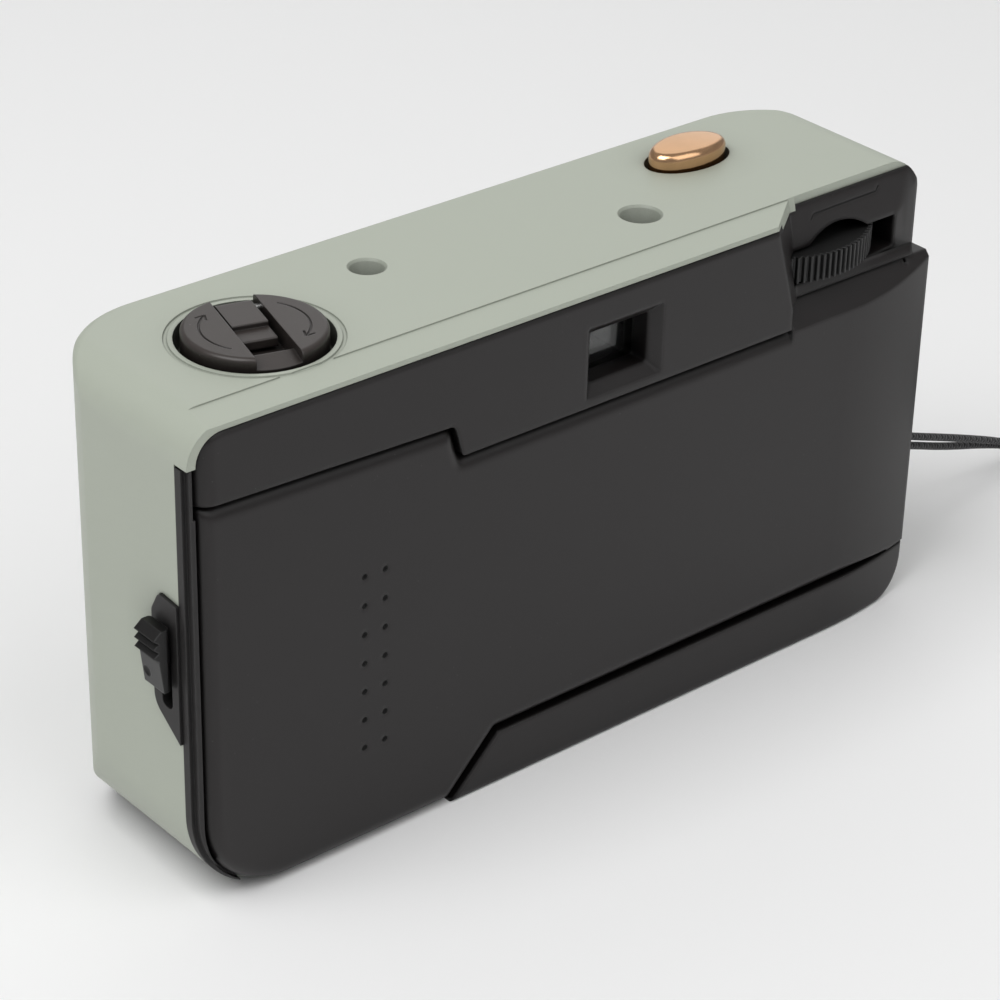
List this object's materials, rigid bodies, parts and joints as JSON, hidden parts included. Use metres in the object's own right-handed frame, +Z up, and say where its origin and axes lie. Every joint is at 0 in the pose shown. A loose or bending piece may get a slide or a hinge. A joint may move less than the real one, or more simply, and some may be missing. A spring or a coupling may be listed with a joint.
{
  "type": "film camera",
  "caption": "Compact 35 mm film camera with a hinged back, thumbwheel film advance, fold-flat rewind crank, sliding door latch, oval shutter button and a wrist strap",
  "frame": {"origin": "under the middle of the body, on the plane it stands on", "axes": "+Z up, -Y the way the lens looks, +Y the film door, +X the end with the rewind knob and the latch"},
  "size_m": [0.1936, 0.0461, 0.0649],
  "materials": {
    "shell_green": "satin",
    "rear_black": "satin",
    "chassis_black": "satin",
    "knob_grey": "satin",
    "wheel_black": "satin",
    "latch_black": "satin",
    "button_copper": "gloss",
    "lens_black": "gloss",
    "clear_pane": "gloss",
    "inner_white": "matte",
    "steel": "satin",
    "dark_steel": "satin",
    "strap_cord": "matte",
    "strap_sleeve": "satin"
  },
  "bodies": {
    "camera_body": {"front_shell": "shell_green", "rear_top_cover": "rear_black", "lower_rear_cover": "rear_black", "door_hinge_pin": "steel", "eyepiece_lens": "clear_pane", "viewfinder_window": "clear_pane", "cartridge_chamber": "chassis_black", "film_gate": "chassis_black", "take_up_chamber": "chassis_black", "latch_guide": "chassis_black", "counter_window": "clear_pane", "shutter_plate": "dark_steel", "shutter_spring": "steel", "lens_barrel": "lens_black", "lens_bezel": "lens_black", "front_lens": "clear_pane", "rear_lens": "clear_pane", "top_screws": "dark_steel", "base_screws": "dark_steel", "strap_pin": "steel", "strap_cord": "strap_cord", "strap_crimp": "strap_sleeve", "wrist_leads": "strap_cord", "wrist_coil": "strap_cord"},
    "door": {"back_door": "rear_black", "door_hook": "steel", "pressure_plate": "dark_steel", "pressure_spring": "steel"},
    "latch": {"latch_slider": "latch_black", "latch_catch": "steel"},
    "rewind_carrier": {"rewind_washer": "steel"},
    "rewind_knob_body": {"rewind_knob": "knob_grey", "crank_pin": "steel", "rewind_shaft": "chassis_black"},
    "crank": {"rewind_crank": "knob_grey"},
    "advance": {"advance_wheel": "wheel_black", "take_up_spool": "chassis_black"},
    "sprocket": {"film_sprocket": "inner_white"},
    "counter": {"counter_dial": "inner_white"},
    "button": {"shutter_button": "button_copper", "button_spring": "steel"},
    "lever": {"release_lever": "dark_steel"},
    "blade": {"shutter_blade": "dark_steel"},
    "rewind_release": {"rewind_release_button": "chassis_black", "rewind_release_spring": "steel"}
  },
  "joints": [
    {"name": "door_swing", "type": "hinge", "parent": "camera_body", "child": "door", "pos_m": [-0.0562, 0.0095, 0.029], "axis": [0, 0, 1], "range_deg": [0, 100]},
    {"name": "latch_slide", "type": "slide", "parent": "camera_body", "child": "latch", "axis": [0, 0, -1], "range_m": [0, 0.003], "stiffness_N_per_m": 150, "springref_m": -0.001},
    {"name": "rewind_pull", "type": "slide", "parent": "camera_body", "child": "rewind_carrier", "axis": [0, 0, 1], "range_m": [0, 0.0022]},
    {"name": "rewind_turn", "type": "hinge", "parent": "rewind_carrier", "child": "rewind_knob_body", "pos_m": [0.0383, 0.001, 0.06], "axis": [0, 0, 1], "continuous": true},
    {"name": "crank_fold", "type": "hinge", "parent": "rewind_knob_body", "child": "crank", "pos_m": [0.03656, -0.00506, 0.06275], "axis": [0.9613, -0.2756, 0], "range_deg": [0, 150]},
    {"name": "wheel_turn", "type": "hinge", "parent": "camera_body", "child": "advance", "pos_m": [-0.0405, 0.001, 0.054], "axis": [0, 0, 1], "continuous": true},
    {"name": "sprocket_turn", "type": "hinge", "parent": "camera_body", "child": "sprocket", "pos_m": [-0.0262, 0.00495, 0.03], "axis": [0, 0, 1], "continuous": true},
    {"name": "counter_turn", "type": "hinge", "parent": "camera_body", "child": "counter", "pos_m": [-0.03508, -0.00461, 0.0035], "axis": [0, 0, 1], "continuous": true},
    {"name": "button_press", "type": "slide", "parent": "camera_body", "child": "button", "axis": [0, 0, -1], "range_m": [0, 0.001], "stiffness_N_per_m": 300, "springref_m": -0.0005, "deforming": ["button_spring"]},
    {"name": "lever_tilt", "type": "hinge", "parent": "camera_body", "child": "lever", "pos_m": [-0.022, -0.0062, 0.05858], "axis": [0, -1, 0], "range_deg": [0, 6]},
    {"name": "blade_swing", "type": "hinge", "parent": "camera_body", "child": "blade", "pos_m": [-0.008, -0.01, 0.0396], "axis": [0, 1, 0], "range_deg": [0, 35], "stiffness_Nm_per_rad": 0.002, "springref_deg": -17.19},
    {"name": "release_push", "type": "slide", "parent": "camera_body", "child": "rewind_release", "axis": [0, 0, 1], "range_m": [0, 0.0009], "stiffness_N_per_m": 300, "springref_m": -0.0005, "deforming": ["rewind_release_spring"]}
  ],
  "couplings": [
    {"joint": "sprocket_turn", "follows": "wheel_turn", "ratio": 1.0744},
    {"joint": "counter_turn", "follows": "wheel_turn", "ratio": -0.0269},
    {"joint": "lever_tilt", "follows": "button_press", "rad_per_m": 101}
  ]
}
